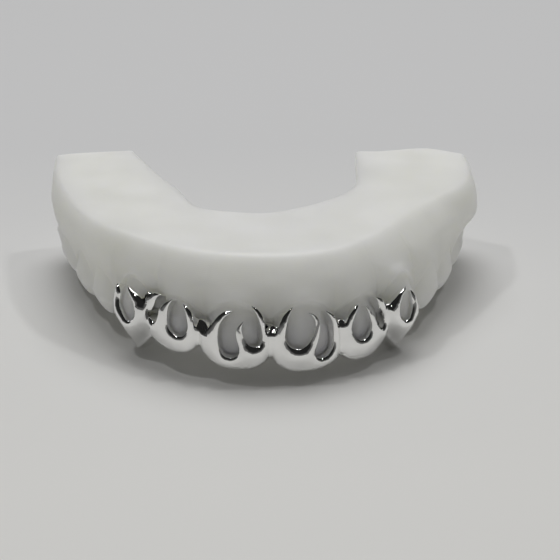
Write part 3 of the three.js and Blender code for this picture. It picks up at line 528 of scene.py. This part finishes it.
def cap_mesh(cast_tree):
    """Vertices, faces and corner normals of the cap: outer sheet, cut edges and inner sheet, closed."""
    s_grid, grid = cap_skin()
    across, down = np.gradient(grid, axis=0), np.gradient(grid, axis=1)
    normal = unit(np.cross(across, down))
    if normal[len(s_grid) // 2, FRONT_STEPS // 2, 1] > 0:
        normal = -normal
    step_s = s_grid[1] - s_grid[0]
    step_w = float(np.linalg.norm(np.diff(grid, axis=1), axis=-1).mean())
    last_row = grid.shape[1] - 1

    def sample(field, chart):
        i = np.clip((chart[:, 0] - s_grid[0]) / step_s, 0, len(s_grid) - 1.001)
        j = np.clip(chart[:, 1] / step_w, 0, last_row - 0.001)
        a, b = i.astype(int), j.astype(int)
        u, v = (i - a)[:, None], (j - b)[:, None]
        return (
            field[a, b] * (1 - u) * (1 - v) + field[a + 1, b] * u * (1 - v) + field[a, b + 1] * (1 - u) * v + field[a + 1, b + 1] * u * v
        )

    def row_of(s, z):
        """Chart coordinate down the front at which the skin has this height."""
        i = np.clip((s - s_grid[0]) / step_s, 0, len(s_grid) - 1.001)
        a = int(i)
        line = grid[a, :FRONT_STEPS, 2] * (1 - (i - a)) + grid[a + 1, :FRONT_STEPS, 2] * (i - a)
        return np.interp(-z, -line, np.arange(FRONT_STEPS)) * step_w

    # boundary of the metal in the chart (arc length, distance down the skin)
    flame = resample(flame_line(), 0.03, False)
    flame[:, 0] = np.clip(flame[:, 0], -CAP_END, CAP_END)
    flame = np.stack([flame[:, 0], [row_of(s, z) for s, z in flame[:, :2]], flame[:, 2]], -1)
    back = last_row * step_w
    corners = np.concatenate([[[-CAP_END, back, BEVEL_WIDE]], flame, [[CAP_END, back, BEVEL_WIDE]]])
    edge = resample(blur(resample(corners, 0.02, True), TIP_SOFT / 0.02, 0, closed=True), 0.02, True)
    turn = unit(np.roll(edge[:, :2], -4, 0) - edge[:, :2])
    bend = np.arccos(np.clip((turn * np.roll(turn, 4, 0)).sum(1), -1, 1)) / 0.08
    want = blur(np.clip(0.30 / np.maximum(bend, 1e-3), 0.035, 0.11), 6, 0, closed=True)
    run = np.concatenate([[0], np.cumsum(0.02 / want)])
    picks = np.interp(np.linspace(0, run[-1], int(run[-1]), endpoint=False), run, np.arange(len(edge) + 1))
    ring = np.concatenate([edge, edge[:1]])
    edge = np.stack([np.interp(picks, np.arange(len(ring)), ring[:, i]) for i in (0, 1, 2)], -1)
    edge, wish = edge[:, :2], edge[:, 2]

    # frame along the boundary: tangent, skin normal, and the way out of the metal
    here, up = sample(grid, edge), unit(sample(normal, edge))
    p_s, p_w = sample(across / step_s, edge), sample(down / step_w, edge)
    tangent = unit(np.roll(here, -1, 0) - np.roll(here, 1, 0))
    t2 = np.roll(edge, -1, 0) - np.roll(edge, 1, 0)
    area = 0.5 * (edge[:, 0] * np.roll(edge[:, 1], -1) - np.roll(edge[:, 0], -1) * edge[:, 1]).sum()
    out2 = np.stack([t2[:, 1], -t2[:, 0]], -1) * np.sign(area)
    away = p_s * out2[:, :1] + p_w * out2[:, 1:]
    away = unit(away - (away * tangent).sum(1, keepdims=True) * tangent - (away * up).sum(1, keepdims=True) * up)

    # points in rows beside the edge, then an even field inside
    tree = kdtree.KDTree(len(here))
    for i, p in enumerate(here):
        tree.insert(p, i)
    tree.balance()
    cells = {}

    def free(point, gap):
        x, y, z = (int(np.floor(c / 0.3)) for c in point)
        for a in (x - 1, x, x + 1):
            for b in (y - 1, y, y + 1):
                for c in (z - 1, z, z + 1):
                    for q in cells.get((a, b, c), ()):
                        if (q[0] - point[0]) ** 2 + (q[1] - point[1]) ** 2 + (q[2] - point[2]) ** 2 < gap * gap:
                            return False
        cells.setdefault((x, y, z), []).append(tuple(point))
        return True

    gss, gsw, gww = (p_s * p_s).sum(1), (p_s * p_w).sum(1), (p_w * p_w).sum(1)
    bs, bw = (p_s * away).sum(1), (p_w * away).sum(1)
    det = gss * gww - gsw * gsw
    inward = -np.stack([(gww * bs - gsw * bw) / det, (gss * bw - gsw * bs) / det], -1)
    chart = [edge]
    for d in ROWS:
        cand = edge + d * inward
        place = sample(grid, cand)
        keep = [
            tree.find(p)[2] > 0.8 * d and free(p, 0.45 * max(d, 0.06))
            for p in place
        ]
        chart.append(cand[np.array(keep)])
    sx = np.arange(-CAP_END, CAP_END, INNER_CELL)
    sw = np.arange(0, back, INNER_CELL)
    field = np.stack(np.meshgrid(sx, sw, indexing="ij"), -1)
    field[:, 1::2, 0] += INNER_CELL / 2
    beside = np.concatenate([c + CREASE_WIDE * np.linspace(-1.8, 1.8, 9) for c in CREASES])
    lines = np.stack(np.meshgrid(beside, np.arange(0, back, 0.2), indexing="ij"), -1)
    for points, gap, room in ((lines.reshape(-1, 2), 0.05, 0.12), (field.reshape(-1, 2), 0.12, ROWS[-1] + 0.07)):
        keep = [tree.find(p)[2] > room and free(p, gap) for p in sample(grid, points)]
        chart.append(points[np.array(keep)])
    chart = np.concatenate(chart)
    n_edge = len(edge)
    loop = list(range(n_edge))
    if area < 0:
        loop.reverse()
    verts2, _, tris, origin, _, _ = geometry.delaunay_2d_cdt(
        [Vector(p) for p in chart.tolist()], [], [loop], 1, 1e-7
    )
    source = np.array([o[0] if o else -1 for o in origin])
    if (source < 0).any():
        raise RuntimeError("the flame line crosses itself")
    used = np.unique(np.array([source[v] for t in tris for v in t]))
    used = np.concatenate([np.arange(n_edge), used[used >= n_edge]])
    number = {int(v): i for i, v in enumerate(used)}
    tris = np.array([[number[int(source[v])] for v in t] for t in tris])
    chart = chart[used]

    place, up_all = sample(grid, chart), unit(sample(normal, chart))
    # thickness: down to the tooth, less the seat
    thick = np.empty(len(chart))
    for i, (p, n) in enumerate(zip(place, up_all)):
        hit = cast_tree.ray_cast(Vector(p), Vector(-n), 4.0)
        near = cast_tree.find_nearest(Vector(p))
        thick[i] = (hit[3] if hit[0] is not None else near[3] * 1.1) - CAP_SEAT
    raw = np.clip(thick, 0.35, 2.6)
    pairs = np.concatenate([tris[:, [0, 1]], tris[:, [1, 2]], tris[:, [2, 0]]])
    pairs = np.concatenate([pairs, pairs[:, ::-1]])
    count = np.bincount(pairs[:, 0], minlength=len(chart))
    thick = raw.copy()
    for _ in range(12):
        thick = np.minimum(raw, 0.5 * thick + 0.5 * np.bincount(pairs[:, 0], thick[pairs[:, 1]], len(chart)) / np.maximum(count, 1))

    thick[:n_edge] = np.minimum(raw[:n_edge], blur(raw[:n_edge], 4.0, 0, closed=True) + 0.04)

    # bevels of the cut edges: how far each point drops, and how its normal leans out
    weight = 0.5 * (np.linalg.norm(np.roll(here, -1, 0) - here, axis=1) + np.linalg.norm(np.roll(here, 1, 0) - here, axis=1))
    wide = wish.copy()
    for i in range(n_edge):
        to = here - here[i]
        reach = -(to @ away[i])
        side = np.sqrt(np.maximum((to * to).sum(1) - reach**2, 0))
        facing = np.flatnonzero((reach > 0.04) & (side < 0.6 * reach) & (away @ away[i] < -0.1))
        if len(facing):
            far = facing[reach[facing].argmin()]
            wide[i] = min(wish[i], BEVEL_PRONG * reach[far] * wish[i] / (wish[i] + wish[far]))
    wide = np.maximum(blur(wide, 5.0, 0, closed=True), 0.05)
    deep = np.minimum(BEVEL_DEEP[1] * thick[:n_edge], BEVEL_DEEP[0] * np.maximum(wide, 0.25))
    deep = np.maximum(blur(deep, 5.0, 0, closed=True), 0.05)
    flat = np.clip((wish - BEVEL_WIDE) / 0.3, 0, 1)
    whole = 1 - BEVEL_CREST / 2

    def bevel(ids, near):
        """Drop and slope of the bevels of some edge points, at a distance in from the edge."""
        x = np.clip(1 - near / wide[ids], 0, 0.9999)
        f, arc = flat[ids], np.sqrt(1 - x * x)
        drop = f * np.where(x < BEVEL_CREST, x * x / (2 * BEVEL_CREST), x - BEVEL_CREST / 2) / whole + (1 - f) * (1 - arc)
        slope = f * np.minimum(x / BEVEL_CREST, 1) / whole + (1 - f) * x / arc
        return deep[ids] * drop, deep[ids] / wide[ids] * slope

    drop, lean = np.zeros(len(chart)), np.zeros((len(chart), 3))
    _, slope = bevel(np.arange(n_edge), 0.0)
    drop[:n_edge], lean[:n_edge] = deep, (slope / np.sqrt(1 + slope**2))[:, None] * away
    for i in range(n_edge, len(chart)):
        found = tree.find_range(Vector(place[i]), float(wish.max()) + 0.1)
        if not found:
            continue
        every, far = np.array([f[1] for f in found]), np.array([f[2] for f in found])
        same = away[every] @ away[every[far.argmin()]] > -0.1
        most = 0.0
        for group in (same, ~same):
            if not group.any():
                continue
            near = far[group].min()
            some = group & (far < near + 0.25)
            ids = every[some]
            w = weight[ids] * np.exp(-(far[some] - near) / (0.02 + 0.15 * near))
            w /= w.sum()
            to = here[ids] - place[i]
            to = unit(to - (to @ up_all[i])[:, None] * up_all[i])
            down, slope = bevel(ids, near)
            part = (w * slope / np.sqrt(1 + slope * slope)) @ to
            most = max(most, float(np.linalg.norm(part)))
            lean[i] += part
            drop[i] = max(drop[i], w @ down)
        lean[i] *= min(1.0, most / max(float(np.linalg.norm(lean[i])), 1e-9))
    for _ in range(BEVEL_SMOOTH):
        for value in (drop, *lean.T):
            even = np.bincount(pairs[:, 0], value[pairs[:, 1]], len(chart)) / np.maximum(count, 1)
            value[n_edge:] = 0.5 * (value + even)[n_edge:]
    tilt = np.minimum(np.linalg.norm(lean, axis=1), 1.0)
    n_out = unit(up_all * np.sqrt(1 - tilt**2)[:, None] + lean)

    outer = place - drop[:, None] * up_all
    inner = place - thick[:, None] * up_all
    # where a facet of the inner sheet still cuts a crest of the tooth, it is drawn back
    for _ in range(10):
        sheet = BVHTree.FromPolygons([Vector(p) for p in inner.tolist()], tris.tolist())
        cut = np.unique(tris[[hit[1] for hit in cast_tree.overlap(sheet)]])
        if not len(cut):
            break
        thick[cut] = np.maximum(thick[cut] - 0.05, drop[cut] + 0.1)
        inner = place - thick[:, None] * up_all
    n_all = len(chart)
    rows = []
    for k in range(1, WALL_ROWS):
        u = k / WALL_ROWS
        rows.append(outer[:n_edge] * (1 - u) + inner[:n_edge] * u)
    verts = np.concatenate([outer, *rows, inner])

    def ring_at(k):
        if k == 0:
            return np.arange(n_edge)
        return n_all + (WALL_ROWS - 1) * n_edge + np.arange(n_edge) if k == WALL_ROWS else n_all + (k - 1) * n_edge + np.arange(n_edge)

    face_normal = np.cross(outer[tris[:, 1]] - outer[tris[:, 0]], outer[tris[:, 2]] - outer[tris[:, 0]])
    flip = (face_normal * up_all[tris].sum(1)).sum(1) < 0
    tris[flip] = tris[flip][:, ::-1]
    base_in = n_all + (WALL_ROWS - 1) * n_edge
    faces = [t for t in tris.tolist()]
    corner = [n_out[v] for t in tris for v in t]
    faces += [[base_in + v for v in t[::-1]] for t in tris.tolist()]
    corner += [-up_all[v] for t in tris for v in t[::-1]]
    nxt = np.roll(np.arange(n_edge), -1)
    probe = np.cross(here[nxt[0]] - here[0], -up_all[0]) @ away[0]
    for k in range(WALL_ROWS):
        a, b = ring_at(k), ring_at(k + 1)
        for i in range(n_edge):
            j = nxt[i]
            if probe > 0:
                faces.append([a[i], a[j], b[j], b[i]])
                corner += [away[i], away[j], away[j], away[i]]
            else:
                faces.append([a[j], a[i], b[i], b[j]])
                corner += [away[j], away[i], away[i], away[j]]
    grain = np.zeros(len(verts))
    grain[:n_all] = np.clip(1 - np.abs((FRONT_STEPS - 1) * step_w - chart[:, 1] - GRAIN_UP) / GRAIN_WIDE, 0, 1)
    return verts, faces, np.array(corner), grain


def make_object(name, verts, faces, corner=None, grain=None):
    mesh = bpy.data.meshes.new(name)
    mesh.from_pydata(((verts + SHIFT) * MM).tolist(), [], faces)
    mesh.validate()
    mesh.shade_smooth()
    if corner is not None:
        mesh.normals_split_custom_set(corner.tolist())
    if grain is not None:
        mesh.attributes.new("grain", "FLOAT", "POINT").data.foreach_set("value", grain.astype(np.float32))
    obj = bpy.data.objects.new(name, mesh)
    bpy.context.scene.collection.objects.link(obj)
    return obj


cast_verts, cast_faces = cast_mesh()
cast_tree = BVHTree.FromPolygons([Vector(v) for v in cast_verts.tolist()], cast_faces)
cast = make_object("cast", cast_verts, cast_faces)
cap = make_object("silver_cap", *cap_mesh(cast_tree))
for obj, node, slot in ((cast, "dental_cast", "resin"), (cap, "grillz", "silver")):
    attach(obj, "root")
    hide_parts(node)
print("triangles", {o.name: sum(len(p.vertices) - 2 for p in o.data.polygons) for o in (cast, cap)})


# ---------------------------------------------------------------- materials
def material(name):
    m = bpy.data.materials.new(name)
    m.use_nodes = True
    tree = m.node_tree
    shader = next(n for n in tree.nodes if n.type == "BSDF_PRINCIPLED")
    return m, tree, shader


def node(tree, kind, **inputs):
    n = tree.nodes.new(kind)
    for key, value in inputs.items():
        n.inputs[key.replace("_", " ")].default_value = value
    return n


def ramp(tree, source, low, high, at=(0.0, 1.0)):
    """Maps a 0..1 value to a value or colour range."""
    r = tree.nodes.new("ShaderNodeValToRGB")
    for element, place, value in zip(r.color_ramp.elements, at, (low, high)):
        element.position = place
        element.color = (value, value, value, 1) if isinstance(value, float) else (*value, 1)
    tree.links.new(source, r.inputs[0])
    return r.outputs[0]


def silver():
    m, tree, shader = material("polished_silver")
    shader.inputs["Metallic"].default_value = 1.0
    place = tree.nodes.new("ShaderNodeTexCoord").outputs["Object"]
    cloud = node(tree, "ShaderNodeTexNoise", Scale=420.0, Detail=3.0)
    tree.links.new(place, cloud.inputs["Vector"])
    tree.links.new(ramp(tree, cloud.outputs[0], (0.87, 0.87, 0.86), (0.93, 0.93, 0.92), (0.35, 0.65)), shader.inputs["Base Color"])
    tree.links.new(ramp(tree, cloud.outputs[0], 0.05, 0.10, (0.35, 0.7)), shader.inputs["Roughness"])
    wave = node(tree, "ShaderNodeTexNoise", Scale=260.0, Detail=2.0)
    tree.links.new(place, wave.inputs["Vector"])
    bump = node(tree, "ShaderNodeBump", Strength=0.10, Distance=0.0001)
    tree.links.new(wave.outputs[0], bump.inputs["Height"])
    where = tree.nodes.new("ShaderNodeAttribute")
    where.attribute_name = "grain"
    patch = node(tree, "ShaderNodeTexNoise", Scale=230.0, Detail=1.0)
    tree.links.new(place, patch.inputs["Vector"])
    share = tree.nodes.new("ShaderNodeMath")
    share.operation = "MULTIPLY"
    tree.links.new(where.outputs["Fac"], share.inputs[0])
    tree.links.new(ramp(tree, patch.outputs[0], 0.0, 1.0, (0.48, 0.60)), share.inputs[1])
    speck = node(tree, "ShaderNodeTexVoronoi", Scale=3200.0)
    tree.links.new(place, speck.inputs["Vector"])
    rough = node(tree, "ShaderNodeBump", Distance=0.00014)
    tree.links.new(share.outputs[0], rough.inputs["Strength"])
    tree.links.new(speck.outputs["Distance"], rough.inputs["Height"])
    tree.links.new(bump.outputs[0], rough.inputs["Normal"])
    tree.links.new(rough.outputs[0], shader.inputs["Normal"])
    return m


def resin():
    m, tree, shader = material("printed_resin")
    shader.inputs["Subsurface Weight"].default_value = 1.0
    shader.inputs["Subsurface Radius"].default_value = (1.0, 1.0, 0.9)
    shader.inputs["Subsurface Scale"].default_value = 0.009
    place = tree.nodes.new("ShaderNodeTexCoord").outputs["Object"]
    cloud = node(tree, "ShaderNodeTexNoise", Scale=120.0, Detail=4.0)
    tree.links.new(place, cloud.inputs["Vector"])
    tree.links.new(ramp(tree, cloud.outputs[0], (0.81, 0.81, 0.77), (0.85, 0.85, 0.815), (0.3, 0.7)), shader.inputs["Base Color"])
    tree.links.new(ramp(tree, cloud.outputs[0], 0.42, 0.55, (0.3, 0.7)), shader.inputs["Roughness"])
    layers = node(tree, "ShaderNodeTexWave", Scale=1600.0, Distortion=0.4)
    layers.bands_direction = "Z"
    tree.links.new(place, layers.inputs["Vector"])
    bump = node(tree, "ShaderNodeBump", Strength=0.15, Distance=0.00002)
    tree.links.new(layers.outputs[1], bump.inputs["Height"])
    tree.links.new(bump.outputs[0], shader.inputs["Normal"])
    return m


cast.data.materials.append(resin())
cap.data.materials.append(silver())


# ---------------------------------------------------------------- stage
def floor():
    mesh = bpy.data.meshes.new("floor")
    half = 2.0
    mesh.from_pydata([(-half, -half, 0), (half, -half, 0), (half, half, 0), (-half, half, 0)], [], [(0, 1, 2, 3)])
    obj = bpy.data.objects.new("floor", mesh)
    bpy.context.scene.collection.objects.link(obj)
    m, tree, shader = material("pale_floor")
    shader.inputs["Roughness"].default_value = 0.7
    place = tree.nodes.new("ShaderNodeTexCoord")
    axes = tree.nodes.new("ShaderNodeSeparateXYZ")
    tree.links.new(place.outputs["Object"], axes.inputs[0])
    # painted shade: the floor's colour runs from a lighter, warmer front to a darker back, standing in for light that
    # falls off towards the back
    depth = node(tree, "ShaderNodeMapRange", From_Min=-0.05, From_Max=0.08)
    tree.links.new(axes.outputs[1], depth.inputs["Value"])
    tree.links.new(ramp(tree, depth.outputs[0], (0.77, 0.765, 0.745), (0.66, 0.66, 0.665)), shader.inputs["Base Color"])
    mesh.materials.append(m)


def lamp(name, place, target, size, energy):
    light = bpy.data.lights.new(name, "AREA")
    light.shape = "DISK"
    light.size = size
    light.energy = energy
    obj = bpy.data.objects.new(name, light)
    obj.location = place
    obj.rotation_mode = "QUATERNION"
    obj.rotation_quaternion = (Vector(target) - Vector(place)).to_track_quat("-Z", "Y")
    bpy.context.scene.collection.objects.link(obj)


floor()
lamp("left", (-0.27, -0.02, 0.60), (0, 0, 0), 0.05, 0.44)
lamp("right", (0.28, 0.06, 0.60), (0, 0, 0), 0.05, 0.43)
lamp("overhead", (0.0, 0.57, 1.18), (0, 0, 0), 1.0, 8.9)

world = bpy.data.worlds.new("studio")
bpy.context.scene.world = world
world.use_nodes = True
wt = world.node_tree
background = next(n for n in wt.nodes if n.type == "BACKGROUND")
coords = wt.nodes.new("ShaderNodeTexCoord")
split = wt.nodes.new("ShaderNodeSeparateXYZ")
wt.links.new(coords.outputs["Generated"], split.inputs[0])


def fade(source, lo, hi, at_lo, at_hi):
    n = wt.nodes.new("ShaderNodeMapRange")
    n.interpolation_type = "SMOOTHSTEP"
    for key, value in (("From Min", lo), ("From Max", hi), ("To Min", at_lo), ("To Max", at_hi)):
        n.inputs[key].default_value = value
    wt.links.new(source, n.inputs["Value"])
    return n.outputs[0]


low_glow = fade(split.outputs[2], 0.05, 0.42, 1.0, 0.0)
front_glow = fade(split.outputs[1], -0.6, 0.35, 0.14, 0.05)
glow = wt.nodes.new("ShaderNodeMath")
glow.operation = "MULTIPLY_ADD"
wt.links.new(low_glow, glow.inputs[0])
wt.links.new(front_glow, glow.inputs[1])
# the metal mirrors a darker room than the one that fills the shadows
room = wt.nodes.new("ShaderNodeMapRange")
wt.links.new(wt.nodes.new("ShaderNodeLightPath").outputs["Is Glossy Ray"], room.inputs["Value"])
room.inputs["To Min"].default_value, room.inputs["To Max"].default_value = 0.16, 0.015
wt.links.new(room.outputs[0], glow.inputs[2])
wt.links.new(glow.outputs[0], background.inputs["Strength"])
background.inputs["Color"].default_value = (1.0, 1.0, 0.98, 1)

camera = bpy.data.objects.new("camera", bpy.data.cameras.new("camera"))
bpy.context.scene.collection.objects.link(camera)
eye = (np.array([-4.832, -174.473, 84.675]) + SHIFT) * MM
aim = (np.array([1.316, 1.585, 13.5]) + SHIFT) * MM
camera.location = eye
camera.rotation_mode = "QUATERNION"
camera.rotation_quaternion = Vector(aim - eye).to_track_quat("-Z", "Y")
camera.data.sensor_width = 36.0
camera.data.lens = 96.43
camera.data.clip_start, camera.data.clip_end = 0.01, 10.0
bpy.context.scene.camera = camera
bpy.context.scene.view_settings.view_transform = "Standard"
